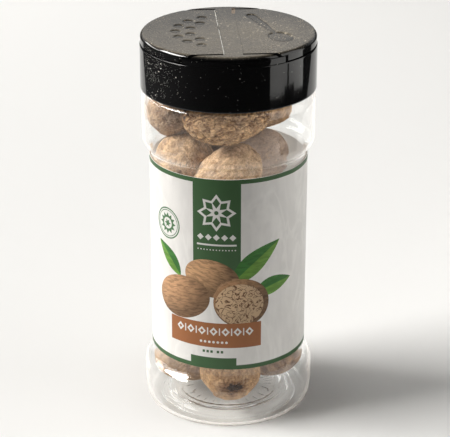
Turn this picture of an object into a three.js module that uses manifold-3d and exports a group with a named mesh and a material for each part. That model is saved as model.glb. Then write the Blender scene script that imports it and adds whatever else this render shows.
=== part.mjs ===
// A clear round spice jar filled with whole nutmegs, with a wrap-around paper label and a black
// screw cap that has two hinged flaps, one over sifting holes and one over a spoon opening.
// Millimetres, +Z up. The origin is the middle of the ring that the jar stands on, and the middle
// of the label faces -Y. Angles round the jar are degrees from the front (-Y) towards +X.
import * as THREE from 'three';
import Module from 'manifold-3d';
import { mergeVertices } from 'three/addons/utils/BufferGeometryUtils.js';

const wasm = await Module();
wasm.setup();

// Driving dimensions
const roundSides = 56;
const running = 0.3; // gap between pieces that touch or slide past each other

const jar = {
  wall: 1.2,
  footInner: 22, // the flat ring that the jar stands on
  footOuter: 25.3,
  punt: 1.8, // how far the middle of the base stands clear
  bulge: 28, // outer radius of the band below the label
  upperBulge: 27.8,
  panel: 25.1, // outer radius behind the label
  lowerBulgeTop: 12.6,
  panelBottom: 18.9,
  panelTop: 87.3,
  upperBulgeBottom: 93.4,
  upperBulgeTop: 105.8,
  neckBottom: 109.4,
  neck: 25.1,
  rim: 122.1,
};
const thread = { low: 111.6, pitch: 4.2, turns: 1.4, size: 1.9, steps: 44 };

const label = { inner: 25.3, outer: 25.5, bottom: 20.7, top: 86.8 };

const cap = {
  radius: 28,
  bottom: 109.3,
  deck: 123.6, // top of the plate with the openings
  top: 127,
  skirtWall: 1.2,
  deckThickness: 1.2,
  edge: 0.7, // rounding of the outer top edge
  twist: 13.5, // how far the hinge lines are turned from the label's middle
};
const hingeLine = 2.9; // distance of each hinge line from the middle of the cap
const fixedEnds = 24.4; // where the fixed front and back of the top begin
const flap = {
  start: hingeLine + running / 2,
  chord: 23.9,
  lipStart: 31.8, // degrees from the hinge line's direction to the end of the lip
  plate: 1.3,
  lipWall: 1.3,
  rib: 1,
  ribGap: 0.6,
};
const sift = { count: 6, ring: 7, hole: 2.1, middle: 14.5 };
const spoonHole = { radius: 22.5, from: 5.6, half: 16 };
const dots = {
  depth: 0.3,
  radius: 1.6,
  lean: -3, // how far both arcs are turned towards the back
  arcs: [{ radius: 16.7, step: 20, count: 7 }, { radius: 12.3, step: 29, count: 4 }],
};
const spoon = {
  depth: 0.3,
  tip: [8.4, 17.4],
  neck: [13.7, 0],
  bowl: [15.8, -7],
  handle: 1.7,
  width: 3.9,
  length: 5.3,
};

// Each nutmeg that shows: where its middle lies (degrees round, mm out from the axis, mm up),
// which way its long axis points (degrees round, degrees above level), and its length and width.
const upperNutmegs = [
  { round: 8, out: 15.3, up: 104.3, heading: 98, rise: 6, length: 28, width: 19.5 },
  { round: -82, out: 15.9, up: 102.2, heading: 4, rise: -4, length: 26, width: 20 },
  { round: 150, out: 12.2, up: 100.8, heading: 85, rise: 12, length: 26, width: 19.6 },
  { round: -76, out: 13.6, up: 83.2, heading: 5, rise: 6, length: 25.5, width: 19.4 },
  { round: 8, out: 13.2, up: 82, heading: 102, rise: 50, length: 27, width: 19.6 },
  { round: 128, out: 9.5, up: 81, heading: 110, rise: 35, length: 25, width: 20 },
  { round: -155, out: 14, up: 86, heading: 104, rise: -4, length: 23, width: 18.4 },
];
const lowerNutmegs = [
  { round: 14, out: 13, up: 15.8, heading: 60, rise: 64, length: 26, width: 19 },
  { round: -100, out: 14.2, up: 13.4, heading: -28, rise: 5, length: 26, width: 19 },
  { round: 126, out: 14.8, up: 13.6, heading: 46, rise: -5, length: 26, width: 19 },
  { round: -170, out: 12.8, up: 27.5, heading: 100, rise: 10, length: 25, width: 19.6 },
];
const nutmegShape = { around: 18, along: 12, egg: 0.1 }; // facets, and how much slimmer one end is
const core = { radius: 20.5, bottom: 22, top: 85, waist: 18 };

const finish = {
  jar: { color: 0xf2f5f4, roughness: 0.08, metalness: 0, transparent: true, opacity: 0.28 },
  label: { color: 0xe9e7e2, roughness: 0.6, metalness: 0 },
  cap: { color: 0x0d0e0f, roughness: 0.3, metalness: 0 },
  nutmeg: { color: 0xa9835c, roughness: 0.8, metalness: 0 },
};

// A point at a radius and an angle round the jar
function around(radius, degrees) {
  const angle = THREE.MathUtils.degToRad(degrees);
  return new THREE.Vector2(radius * Math.sin(angle), -radius * Math.cos(angle));
}

// Geometry with shared vertices and no flat triangles, as a solid that can be joined and cut
function toSolid(geometry) {
  geometry.deleteAttribute('normal');
  geometry.deleteAttribute('uv');
  const welded = mergeVertices(geometry, 1e-4);
  const index = Array.from(welded.index.array);
  const corners = index.flatMap((_, i) => (i % 3 ? [] : [index.slice(i, i + 3)]));
  const whole = corners.filter(([a, b, c]) => a !== b && b !== c && c !== a);
  return new wasm.Manifold(new wasm.Mesh({
    numProp: 3,
    vertProperties: welded.attributes.position.array,
    triVerts: Uint32Array.from(whole.flat()),
  }));
}

function toMesh(name, solid, look) {
  const { vertProperties, triVerts } = solid.getMesh();
  const geometry = new THREE.BufferGeometry();
  geometry.setAttribute('position', new THREE.BufferAttribute(vertProperties, 3));
  geometry.setIndex(new THREE.BufferAttribute(triVerts, 1));
  geometry.computeVertexNormals();
  const mesh = new THREE.Mesh(geometry, new THREE.MeshStandardMaterial(look));
  mesh.name = name;
  return mesh;
}

// A profile of radius and height, turned round the Z axis
function turned(points) {
  return toSolid(new THREE.LatheGeometry(points, roundSides).rotateX(Math.PI / 2));
}

// A plan outline raised between two heights
function raised(shape, bottom, top, curveSegments = 12) {
  const geometry = new THREE.ExtrudeGeometry(shape, {
    depth: top - bottom, bevelEnabled: false, curveSegments,
  });
  return toSolid(geometry.translate(0, 0, bottom));
}

function disc(radius, bottom, top, x = 0, y = 0, sides = 12) {
  const geometry = new THREE.CylinderGeometry(radius, radius, top - bottom, sides);
  return toSolid(geometry.rotateX(Math.PI / 2).translate(x, y, (bottom + top) / 2));
}

function block(low, high) {
  const size = high.map((value, i) => value - low[i]);
  const middle = high.map((value, i) => (value + low[i]) / 2);
  return toSolid(new THREE.BoxGeometry(...size).translate(...middle));
}

// ---- jar ----

// One wall of the jar from the foot to the rim, drawn at a distance inside the outer surface,
// with its bends in so many steps
function jarWall(inset, steps) {
  const path = new THREE.Path();
  const bulge = jar.bulge - inset;
  const upper = jar.upperBulge - inset;
  const panel = jar.panel - inset;
  const neck = jar.neck - inset;
  path.moveTo(jar.footOuter - inset, inset);
  path.quadraticCurveTo(bulge - 0.8, inset, bulge - 0.4, inset + 3);
  path.quadraticCurveTo(bulge, 6, bulge, 9);
  path.lineTo(bulge, jar.lowerBulgeTop);
  path.bezierCurveTo(bulge, jar.lowerBulgeTop + 3.2, panel, jar.panelBottom - 3.2, panel, jar.panelBottom);
  path.lineTo(panel, jar.panelTop);
  path.bezierCurveTo(panel, jar.panelTop + 3, upper, jar.upperBulgeBottom - 3, upper, jar.upperBulgeBottom);
  path.lineTo(upper, jar.upperBulgeTop);
  path.quadraticCurveTo(upper, jar.neckBottom - 0.6, neck, jar.neckBottom);
  path.lineTo(neck, jar.rim);
  return path.getPoints(steps);
}

// A raised helix round the neck
function neckThread() {
  const crest = new THREE.Shape();
  crest.moveTo(-thread.size / 2, 0);
  crest.lineTo(0, -thread.size / 2);
  crest.lineTo(thread.size / 2, 0);
  crest.lineTo(0, thread.size / 2);
  crest.closePath();
  const points = [];
  for (let i = 0; i <= thread.steps; i += 1) {
    const turn = (i / thread.steps) * thread.turns;
    const { x, y } = around(jar.neck, turn * 360);
    points.push(new THREE.Vector3(x, y, thread.low + turn * thread.pitch));
  }
  const extrudePath = new THREE.CatmullRomCurve3(points);
  return toSolid(new THREE.ExtrudeGeometry(crest, { steps: thread.steps, extrudePath }));
}

function makeJar() {
  const puntEdge = jar.footInner - jar.punt;
  const outside = [
    new THREE.Vector2(0, jar.punt),
    new THREE.Vector2(puntEdge, jar.punt),
    new THREE.Vector2(jar.footInner, 0),
    ...jarWall(0, 3),
  ];
  const inside = [
    ...jarWall(jar.wall, 2).reverse(),
    new THREE.Vector2(jar.footInner - 0.2, jar.wall),
    new THREE.Vector2(puntEdge - 0.2, jar.punt + jar.wall),
    new THREE.Vector2(0, jar.punt + jar.wall),
  ];
  const bore = disc(jar.neck - jar.wall / 2, jar.neckBottom, jar.rim, 0, 0, roundSides);
  return turned([...outside, ...inside]).add(neckThread().subtract(bore));
}

// ---- label ----

function makeLabel() {
  return turned([
    new THREE.Vector2(label.inner, label.bottom),
    new THREE.Vector2(label.outer, label.bottom),
    new THREE.Vector2(label.outer, label.top),
    new THREE.Vector2(label.inner, label.top),
    new THREE.Vector2(label.inner, label.bottom),
  ]);
}

// ---- cap, drawn with its hinge lines along Y ----

// The skirt and deck as one turned cup, up to full height so that the fixed parts can be cut from it
function capBlank() {
  const inner = cap.radius - cap.skirtWall;
  const path = new THREE.Path();
  path.moveTo(0, cap.deck - cap.deckThickness);
  path.lineTo(inner, cap.deck - cap.deckThickness);
  path.lineTo(inner, cap.bottom);
  path.lineTo(cap.radius, cap.bottom);
  path.lineTo(cap.radius, cap.top - cap.edge);
  path.quadraticCurveTo(cap.radius, cap.top, cap.radius - cap.edge, cap.top);
  path.lineTo(0, cap.top);
  return turned(path.getPoints(3));
}

// The room above the deck for one flap: side is 1 for the right flap and -1 for the left one
function flapRoom(side) {
  const near = hingeLine - running / 2;
  const [low, high] = side > 0 ? [near, cap.radius + 1] : [-cap.radius - 1, -near];
  return block([low, -fixedEnds, cap.deck], [high, fixedEnds, cap.top + 1]);
}

// A round-backed opening for a spoon, or one drawn a little larger all round
function spoonOpening(outset, low, high) {
  const round = disc(spoonHole.radius + outset, low, high, 0, 0, 48);
  return round.intersect(block(
    [spoonHole.from - outset, -spoonHole.half - outset, low],
    [cap.radius, spoonHole.half + outset, high],
  ));
}

function siftHoles() {
  const holes = [disc(sift.hole, cap.bottom, cap.top, -sift.middle, 0)];
  for (let i = 0; i < sift.count; i += 1) {
    const { x, y } = around(sift.ring, (i * 360) / sift.count);
    holes.push(disc(sift.hole, cap.bottom, cap.top, x - sift.middle, y));
  }
  return holes;
}

function makeCap() {
  const opening = spoonOpening(0, cap.bottom, cap.top);
  const cuts = [flapRoom(1), flapRoom(-1), opening, ...siftHoles()];
  return cuts.reduce((body, cut) => body.subtract(cut), capBlank());
}

// ---- flaps ----

// Plan of the right flap, set in from its edges: the hinge side, two straight ends and the round lip
function flapPlan(inset) {
  const radius = cap.radius - inset;
  const chord = flap.chord - inset;
  const lip = THREE.MathUtils.degToRad(flap.lipStart) + inset / radius;
  const shape = new THREE.Shape();
  shape.moveTo(flap.start + inset, -chord);
  shape.lineTo(radius * Math.sin(lip) - 1.2, -chord);
  shape.absarc(0, 0, radius, lip - Math.PI / 2, Math.PI / 2 - lip, false);
  shape.lineTo(radius * Math.sin(lip) - 1.2, chord);
  shape.lineTo(flap.start + inset, chord);
  shape.closePath();
  return shape;
}

// The flap's outer form, rounded over at its top edge like the cap
function flapForm() {
  const bottom = cap.deck + running;
  const path = new THREE.Path();
  path.moveTo(0, bottom);
  path.lineTo(cap.radius, bottom);
  path.lineTo(cap.radius, cap.top - cap.edge);
  path.quadraticCurveTo(cap.radius, cap.top, cap.radius - cap.edge, cap.top);
  path.lineTo(0, cap.top);
  return turned(path.getPoints(3)).intersect(raised(flapPlan(0), bottom, cap.top, 20));
}

// A plate with a wall down round its edge, hollow below
function plainFlap() {
  const hollow = raised(flapPlan(flap.lipWall), cap.deck, cap.top - flap.plate, 16);
  return flapForm().subtract(hollow);
}

// A rib below the plate that closes on the deck, from an inner plan and an outer one
function sealRib(plan) {
  const low = cap.deck + running;
  const high = cap.top - flap.plate + 0.2;
  const inner = plan(flap.ribGap, low - 1, high + 1);
  return plan(flap.ribGap + flap.rib, low, high).subtract(inner);
}

// Sunk dots in two arcs on the left flap
function siftMark() {
  return dots.arcs.flatMap(({ radius, step, count }) => Array.from({ length: count }, (_, i) => {
    const { x, y } = around(radius, -90 + dots.lean + (i - (count - 1) / 2) * step);
    return disc(dots.radius, cap.top - dots.depth, cap.top + 1, x, y, 10);
  }));
}

// A sunk spoon on the right flap: a round-ended handle that narrows to the neck, and the bowl
function spoonMark() {
  const [tip, neck, bowl] = [spoon.tip, spoon.neck, spoon.bowl].map((at) => new THREE.Vector2(...at));
  const down = neck.clone().sub(tip).normalize();
  const side = new THREE.Vector2(-down.y, down.x);
  const edge = (from, along, out) => from.clone().addScaledVector(down, along).addScaledVector(side, out);
  const handle = new THREE.Shape([edge(neck, 3, -0.6), edge(neck, -3, -spoon.handle)]);
  const ends = [edge(tip, 1.2, -spoon.handle), edge(tip, -1.2, 0), edge(tip, 1.2, spoon.handle)];
  handle.splineThru(ends);
  handle.lineTo(...edge(neck, -3, spoon.handle));
  handle.lineTo(...edge(neck, 3, 0.6));
  const round = new THREE.Shape();
  round.absellipse(bowl.x, bowl.y, spoon.length, spoon.width, 0, 2 * Math.PI, false, down.angle());
  const heights = [cap.top - spoon.depth, cap.top + 1];
  return raised(handle, ...heights, 2).add(raised(round, ...heights, 9));
}

function makeSpoonFlap() {
  return plainFlap().add(sealRib(spoonOpening)).subtract(spoonMark());
}

function makeSiftFlap() {
  const reach = sift.ring + sift.hole;
  const rib = sealRib((outset, low, high) => disc(reach + outset, low, high, -sift.middle, 0, 28));
  const closed = plainFlap().mirror([1, 0, 0]).add(rib);
  return siftMark().reduce((body, cut) => body.subtract(cut), closed);
}

// ---- nutmegs ----

// An egg-shaped seed with one blunt end, its long axis along the heading
function nutmeg({ round, out, up, heading, rise, length, width }) {
  const geometry = new THREE.SphereGeometry(1, nutmegShape.around, nutmegShape.along);
  const place = geometry.attributes.position;
  for (let i = 0; i < place.count; i += 1) {
    const along = place.getY(i);
    const girth = (width / 2) * (1 - nutmegShape.egg * along);
    place.setXYZ(i, place.getX(i) * girth, along * length / 2, place.getZ(i) * girth);
  }
  const level = around(Math.cos(THREE.MathUtils.degToRad(rise)), heading);
  const long = new THREE.Vector3(level.x, level.y, Math.sin(THREE.MathUtils.degToRad(rise)));
  const middle = around(out, round);
  const turn = new THREE.Quaternion().setFromUnitVectors(new THREE.Vector3(0, 1, 0), long);
  geometry.applyQuaternion(turn).translate(middle.x, middle.y, up);
  return toSolid(geometry);
}

// The nutmegs behind the label, as one plain body
function heapCore() {
  const path = new THREE.Path();
  path.moveTo(0, core.bottom);
  path.lineTo(core.waist, core.bottom);
  path.lineTo(core.radius, core.bottom + 6);
  path.lineTo(core.radius, core.top - 6);
  path.lineTo(core.waist - 4, core.top);
  path.lineTo(0, core.top);
  return toSolid(new THREE.LatheGeometry(path.getPoints(1), 24).rotateX(Math.PI / 2));
}

// The inside of the jar, less the gap that keeps the heap off the wall
function jarRoom() {
  const floor = jar.punt + jar.wall + running;
  return turned([new THREE.Vector2(0, floor), new THREE.Vector2(jar.footInner, floor),
    ...jarWall(jar.wall + running, 2).slice(2), new THREE.Vector2(0, jar.rim)]);
}

function makeHeap() {
  const pieces = [...lowerNutmegs, ...upperNutmegs].map(nutmeg);
  return pieces.reduce((heap, piece) => heap.add(piece), heapCore()).intersect(jarRoom());
}

const object = new THREE.Group();
object.add(toMesh('jar', makeJar(), finish.jar));
object.add(toMesh('label', makeLabel(), finish.label));
object.add(toMesh('nutmegs', makeHeap(), finish.nutmeg));

const capGroup = new THREE.Group();
capGroup.rotation.z = THREE.MathUtils.degToRad(cap.twist);
capGroup.add(toMesh('cap', makeCap(), finish.cap));
capGroup.add(toMesh('sift_flap', makeSiftFlap(), finish.cap));
capGroup.add(toMesh('spoon_flap', makeSpoonFlap(), finish.cap));
object.add(capGroup);

export default object;
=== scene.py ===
import math
from functools import reduce
from itertools import product

import bmesh
import bpy
import numpy as np
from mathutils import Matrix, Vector
from mathutils.geometry import delaunay_2d_cdt


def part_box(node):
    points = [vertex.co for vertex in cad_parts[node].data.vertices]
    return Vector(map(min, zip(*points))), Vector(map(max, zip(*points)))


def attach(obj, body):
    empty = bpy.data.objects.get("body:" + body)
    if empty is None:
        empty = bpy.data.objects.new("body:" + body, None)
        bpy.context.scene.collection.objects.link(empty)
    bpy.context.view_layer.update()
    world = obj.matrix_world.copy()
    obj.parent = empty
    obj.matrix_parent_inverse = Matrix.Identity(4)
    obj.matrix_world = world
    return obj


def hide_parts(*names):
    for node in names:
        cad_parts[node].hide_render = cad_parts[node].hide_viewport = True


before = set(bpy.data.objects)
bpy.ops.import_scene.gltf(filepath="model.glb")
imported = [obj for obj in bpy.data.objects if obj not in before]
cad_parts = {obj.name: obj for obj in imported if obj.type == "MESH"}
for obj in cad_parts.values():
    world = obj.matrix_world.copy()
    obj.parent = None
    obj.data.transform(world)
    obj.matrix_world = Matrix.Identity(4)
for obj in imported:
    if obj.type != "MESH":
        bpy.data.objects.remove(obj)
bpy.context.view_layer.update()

# The dictionaries hold millimetres, and degrees round the jar from the front (-Y) towards +X.
# Shapes are worked out in millimetres and scaled to metres when their mesh is made.
mm = 0.001


# Top, bottom and outer radius of a solid in millimetres
def highest(node):
    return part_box(node)[1].z / mm


def lowest(node):
    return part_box(node)[0].z / mm


def radiusOf(node):
    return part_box(node)[1].x / mm


# (radius * sin, -radius * cos), so that 0 degrees is the front
def around(radius, degrees):
    angle = np.radians(degrees)
    return np.stack([radius * np.sin(angle), -radius * np.cos(angle)], axis=-1)


# 0 below low, 1 above high, and an S-curve of 3t^2 - 2t^3 between them
def eased(value, low, high):
    share = np.clip((value - low) / (high - low), 0, 1)
    return share * share * (3 - 2 * share)


# S-curves up from low to full and down again from last to gone
def humped(value, low, full, last, gone):
    return eased(value, low, full) * (1 - eased(value, last, gone))


# Large numbers that stir a corner's place and series into its value
stir = {
    "place": (73856093, 19349663, 83492791), "series": 40503,
    "rounds": ((15, 739982445), (12, 695872825)), "lowBits": 0x7FFFFFFF,
}


# Smooth random value from -1 to 1: every whole-number corner of space has its own value, and a
# point mixes the eight corners round it by S-curve weights
def unevenness(points, series):
    cell = np.floor(points).astype(np.int64)
    weight = eased(points - cell, 0, 1)
    total = np.zeros(points.shape[:-1])
    for corner in product((0, 1), repeat=3):
        number = np.bitwise_xor.reduce((cell + corner) * stir["place"], axis=-1)
        number = (number ^ (series * stir["series"])) & stir["lowBits"]
        for shift, factor in stir["rounds"]:
            number = ((number ^ (number >> shift)) * factor) & stir["lowBits"]
        share = np.where(corner, weight, 1 - weight).prod(axis=-1)
        total += share * ((number >> 8) / (0x7FFFFF / 2) - 1)
    return total


# Bernstein form of a curve through its control points, at evenly spaced shares of its run
def bent(controls, steps):
    share = np.linspace(0, 1, steps + 1)[:, None]
    last = len(controls) - 1
    terms = [
        math.comb(last, i) * share**i * (1 - share) ** (last - i) * np.array(point)
        for i, point in enumerate(controls)
    ]
    return np.sum(terms, axis=0)


# Meshes: a shape is a tuple of points, four-cornered faces and three-cornered faces

noTriangles = np.zeros((0, 3), int)
noQuads = np.zeros((0, 4), int)
samePlace = 2e-6  # metres within which welded corners become one


# Rings of points joined row to row. Rows that run up with columns that run anticlockwise face
# out. closed joins the last ring to the first, and a pole closes an end with a fan.
def ringSkin(rings, firstPole=None, lastPole=None, closed=False):
    rows, columns = rings.shape[:2]
    near = np.arange(columns)
    far = (near + 1) % columns
    low = np.arange(rows if closed else rows - 1)[:, None] * columns
    high = (low + columns) % (rows * columns)
    quads = np.stack([low + near, low + far, high + far, high + near], axis=-1).reshape(-1, 4)
    points = [rings.reshape(-1, 3)]
    fans = [noTriangles]
    count = rows * columns
    if firstPole is not None:
        fans.append(np.stack([np.full(columns, count), far, near], axis=-1))
        points.append([firstPole])
        count += 1
    if lastPole is not None:
        last = (rows - 1) * columns
        fans.append(np.stack([last + near, last + far, np.full(columns, count)], axis=-1))
        points.append([lastPole])
    return np.vstack(points), quads, np.vstack(fans)


# A plan lifted to one height, or to a height for each point
def lifted(plan, height):
    return np.column_stack([plan, np.broadcast_to(height, len(plan))])


# Rings, each a plan at its own height
def stacked(plans, heights):
    return np.stack([lifted(plan, height) for plan, height in zip(plans, heights)])


# Each profile point (radius, height) carried round the axis
def turnedRings(profile, columns):
    radii, heights = zip(*profile)
    return stacked([around(radius, np.arange(columns) * 360 / columns) for radius in radii], heights)


# A plan outline stacked by steps of its own values, such as how far it is set in, and a height
def outlineRings(outlineAt, profile):
    return stacked([outlineAt(*step[:-1]) for step in profile], [step[-1] for step in profile])


# Eased edge as (inset, height) from the side wall to the flat top: a superellipse, whose powers
# of sine and cosine make its middle nearly a straight bevel
def easedEdge(topHeight, radius, steps=8, power=1.35):
    angle = np.linspace(0, math.pi / 2, steps + 1)
    inset = radius * (1 - np.cos(angle) ** power)
    drop = radius * (1 - np.sin(angle) ** power)
    return [(float(across), topHeight - float(down)) for across, down in zip(inset, drop)]


# Even-odd test of points against an outline
def within(points, outline):
    x, y = points[:, :1], points[:, 1:]
    ax, ay = outline.T
    bx, by = np.roll(outline, -1, axis=0).T
    crossing = (ay > y) != (by > y)
    slope = np.where(by == ay, 1, by - ay)
    return (crossing & (x < (bx - ax) * (y - ay) / slope + ax)).sum(axis=1) % 2 == 1


# Triangles that fill the first loop, through extra points in it, without the insides of the other
# loops unless they are whole. An extra point nearer than clear to a loop is left out.
def filledPlan(loops, extra=None, clear=0.2, whole=False):
    edges = []
    count = 0
    for loop in loops:
        edges += [(count + i, count + (i + 1) % len(loop)) for i in range(len(loop))]
        count += len(loop)
    plan = np.vstack(loops)
    if extra is not None:
        nearest = np.full(len(extra), np.inf)
        for point in plan:
            nearest = np.minimum(nearest, np.hypot(*(extra - point).T))
        plan = np.vstack([plan, extra[nearest > clear]])
    insideOnly, samePoint = 1, 1e-6
    made = delaunay_2d_cdt([Vector(point) for point in plan], edges, [], insideOnly, samePoint)
    points = np.array([tuple(point) for point in made[0]])
    triangles = np.array(made[2])
    for hole in [] if whole else loops[1:]:
        triangles = triangles[~within(points[triangles].mean(axis=1), hole)]
    used, index = np.unique(triangles, return_inverse=True)
    return points[used], index.reshape(-1, 3)


# Points every spacing over a rectangle, each second row shifted by half
def scattered(low, high, spacing, rowShare=0.87):
    x = np.arange(low[0], high[0], spacing)
    y = np.arange(low[1], high[1], spacing * rowShare)
    plan = np.stack(np.meshgrid(x, y), axis=-1)
    plan[1::2, :, 0] += spacing / 2
    return plan.reshape(-1, 2)


# A filled plan as a face, lifted as above. Its triangles run the other way round to face down.
def flatFace(plan, triangles, height, facesDown=False):
    return lifted(plan, height), noQuads, triangles[:, ::-1] if facesDown else triangles


# Points turned anticlockwise about the axis by the matrix of the angle's cosine and sine
def turnedBy(points, degrees):
    angle = math.radians(degrees)
    turn = np.array([[math.cos(angle), math.sin(angle)], [-math.sin(angle), math.cos(angle)]])
    return np.concatenate([points[:, :2] @ turn, points[:, 2:]], axis=1)


def addObject(name, data):
    item = bpy.data.objects.new(name, data)
    bpy.context.collection.objects.link(item)
    return item


# One mesh object from several shapes. numbers gives each face its material, values the attributes.
def makePiece(name, shapes, finishes, body, nodes, sharp=40, weld=False, numbers=None, values=None):
    points, quads, triangles = zip(*shapes)
    starts = np.cumsum([0] + [len(part) for part in points])
    faces = [corners for part, start in zip(quads, starts) for corners in (part + start).tolist()]
    faces += [corners for part, start in zip(triangles, starts) for corners in (part + start).tolist()]
    mesh = bpy.data.meshes.new(name)
    mesh.from_pydata(np.vstack(points) * mm, [], faces)
    if numbers is not None:
        mesh.polygons.foreach_set("material_index", numbers.astype(np.int32))
    for title, data in (values or {}).items():
        kind, key = ("FLOAT_VECTOR", "vector") if data.ndim > 1 else ("FLOAT", "value")
        attribute = mesh.attributes.new(title, kind, "POINT")
        attribute.data.foreach_set(key, data.astype(np.float32).ravel())
    if weld:
        soup = bmesh.new()
        soup.from_mesh(mesh)
        bmesh.ops.remove_doubles(soup, verts=soup.verts, dist=samePlace)
        soup.to_mesh(mesh)
        soup.free()
    mesh.validate()
    mesh.shade_smooth()
    mesh.set_sharp_from_angle(angle=math.radians(sharp))
    for finish in finishes:
        mesh.materials.append(finish)
    item = addObject(name, mesh)
    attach(item, body)
    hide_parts(*nodes)


# Materials

# What a node gives. Sums and comparisons add maths nodes, and [name] is another output of it.
class Signal:
    def __init__(self, socket):
        self.socket = socket
        self.tree = socket.id_data

    def __getitem__(self, output):
        return Signal(self.socket.node.outputs[output])

    def __add__(self, other):
        return maths("ADD", self, other)

    def __sub__(self, other):
        return maths("SUBTRACT", self, other)

    def __rsub__(self, other):
        return maths("SUBTRACT", other, self)

    def __mul__(self, other):
        return maths("MULTIPLY", self, other)

    def __gt__(self, other):
        return maths("GREATER_THAN", self, other)

    def __lt__(self, other):
        return maths("LESS_THAN", self, other)

    def __abs__(self):
        return maths("ABSOLUTE", self)


def newMaterial(name):
    material = bpy.data.materials.new(name)
    material.use_nodes = True
    material.node_tree.nodes.clear()
    return material, material.node_tree


# A node with its settings and its inputs, each a fixed value or a signal
def addNode(tree, kind, inputs=None, **settings):
    node = tree.nodes.new("ShaderNode" + kind)
    for name, value in settings.items():
        setattr(node, name, value)
    for name, value in (inputs or {}).items():
        socket = node.inputs[name]
        if isinstance(value, Signal):
            tree.links.new(value.socket, socket)
        else:
            socket.default_value = (*value, 1.0) if socket.type == "RGBA" else value
    return Signal(node.outputs[0])


# The node tree of the first signal among some values
def treeOf(*values):
    return next(value.tree for value in values if isinstance(value, Signal))


def maths(operation, *values):
    return addNode(treeOf(*values), "Math", dict(enumerate(values)), operation=operation)


# The union of two masks
def larger(first, second):
    return maths("MAXIMUM", first, second)


# From the first tone to the second by a share, or the first times the second by a share
def mixed(share, first, second, how="MIX"):
    inputs = {0: share, 6: first, 7: second}
    return addNode(treeOf(share, first, second), "Mix", inputs, data_type="RGBA", blend_type=how)[2]


# A tone with others laid over it in turn, each as (share, tone)
def layered(tone, *layers):
    for share, layer in layers:
        tone = mixed(share, tone, layer)
    return tone


# S-curve between two values, from start to end
def ranged(value, low, high, start=0.0, end=1.0):
    inputs = {"Value": value, "From Min": low, "From Max": high, "To Min": start, "To Max": end}
    return addNode(value.tree, "MapRange", inputs, interpolation_type="SMOOTHSTEP")


def place(tree):
    return addNode(tree, "TexCoord")["Object"]


def heightOf(vector):
    return addNode(vector.tree, "SeparateXYZ", {0: vector})["Z"]


# Space scaled along its axes and leaned about Y
def stretched(vector, scale, lean=0.0):
    return addNode(vector.tree, "Mapping", {"Vector": vector, "Scale": scale, "Rotation": (0, lean, 0)})


# Cloudy value from 0 to 1 whose scale is in cells for each unit of the vector
def noise(vector, scale, detail=2.0, roughness=0.5, distortion=0.0):
    return addNode(vector.tree, "TexNoise", {
        "Vector": vector, "Scale": scale, "Detail": detail, "Roughness": roughness,
        "Distortion": distortion})


# Nearness to a place in millimetres: 1 at it and 0 at the far distance
def nearTo(vector, spot, far, near=0.0):
    inputs = {0: vector, 1: tuple(v * mm for v in spot)}
    distance = addNode(vector.tree, "VectorMath", inputs, operation="DISTANCE")["Value"]
    return ranged(distance, near * mm, far * mm, 1.0, 0.0)


# Normals as if the surface rose by so many millimetres where the height is 1
def bumped(height, depth):
    return addNode(height.tree, "Bump", {"Height": height, "Strength": 1.0, "Distance": depth * mm})


def surface(tree, **inputs):
    sockets = {name.replace("_", " "): value for name, value in inputs.items()}
    return addNode(tree, "BsdfPrincipled", sockets)


def finished(shader, kind="OutputMaterial"):
    output = shader.tree.nodes.new("ShaderNode" + kind)
    shader.tree.links.new(shader.socket, output.inputs["Surface"])


def plainFinish(name, **inputs):
    material, tree = newMaterial(name)
    finished(surface(tree, **inputs))
    return material


# A surface that a share of the rays passes straight, with a tint
def finishedClear(shader, share, tint):
    straight = addNode(shader.tree, "BsdfTransparent", {"Color": tint})
    finished(addNode(shader.tree, "MixShader", {0: share, 1: shader, 2: straight}))


# Rays that carry light on from a thing, or to a lamp
def lightRays(tree):
    rays = addNode(tree, "LightPath")
    return larger(rays["Is Shadow Ray"], rays["Is Diffuse Ray"])


# Camera, floor and light

view = {
    "place": (0.0877, -0.5242, 0.2897),
    "forward": (-0.15366, 0.9069, -0.3923),
    "lens": 141.03,
    "sensor": 36,
    "clip": (0.02, 50),
    "turn": 9.5,  # degrees that the camera stands round from the front
}
# Lengths in metres, to the right and to the back as the camera sees them
studio = {
    "lampDistance": 3.0,
    "lampTarget": 0.06,  # height that the lamps shine at
    "lampColour": (1.0, 0.985, 0.955),
    # towards each lamp: right, back and up; its width and height; and its strength
    "key": ((-1.0, -0.05, 0.74), (1.8, 0.85), 15.3),
    "strip": ((-0.82, 0.47, 0.36), (1.9, 0.45), 2.5),
    "sheet": (-0.25, 0.272, -0.15, 1.2),  # left, right, near and far edge of the lit white sheet
    "slant": 0.105,  # how much farther right the right edge is for each metre back
    "sheetNear": (0.85, 0.848, 0.842),  # its tone near the camera, and farther back to the right: painted light falloff, darker near and paler far
    "sheetFar": (0.998, 0.995, 0.988),
    "sheetFade": (-0.04, 0.52),
    "table": (0.02, 0.02, 0.02),
    "gathered": (27, 19, 0.15),  # mm at which the painted glow on the floor under the base ends and is full; strength
    "wall": (0.93, 0.925, 0.915),  # seen straight or through the clear jar
    "backdrop": 0.5,  # light of the pale backdrop low down behind the jar, in reflections
    "backdropFrom": ((0.45, 0.8), (0.05, 0.2)),  # how far back and up a direction is to meet it
    "backdropEnd": (0.5, 0.75),  # and how far up it ends
    "room": 0.03,  # light of the dim room elsewhere
    "roomTint": (0.97, 0.985, 1.0),
    "fill": (0.53, 0.475, 0.435),  # light from all round on what the jar holds
    "floorSize": 4.0,
    "floorDrop": 0.0001,
    # things round the right side: distance, degrees from the camera's side, low and high edge
    "board": (0.25, 52, 106.5, 0.035, 0.35),
    "boardGlow": 0.24,
    "props": ((0.245, 68, 98, 0, 0.037), (0.244, 73, 89, 0, 0.0405), (0.243, 77.2, 79.4, 0, 0.066)),
}

# Directions to the right and to the back of the camera's view, level with the floor
turn = math.radians(view["turn"])
rightWay = Vector((math.cos(turn), math.sin(turn), 0))
backWay = Vector((-math.sin(turn), math.cos(turn), 0))


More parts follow.
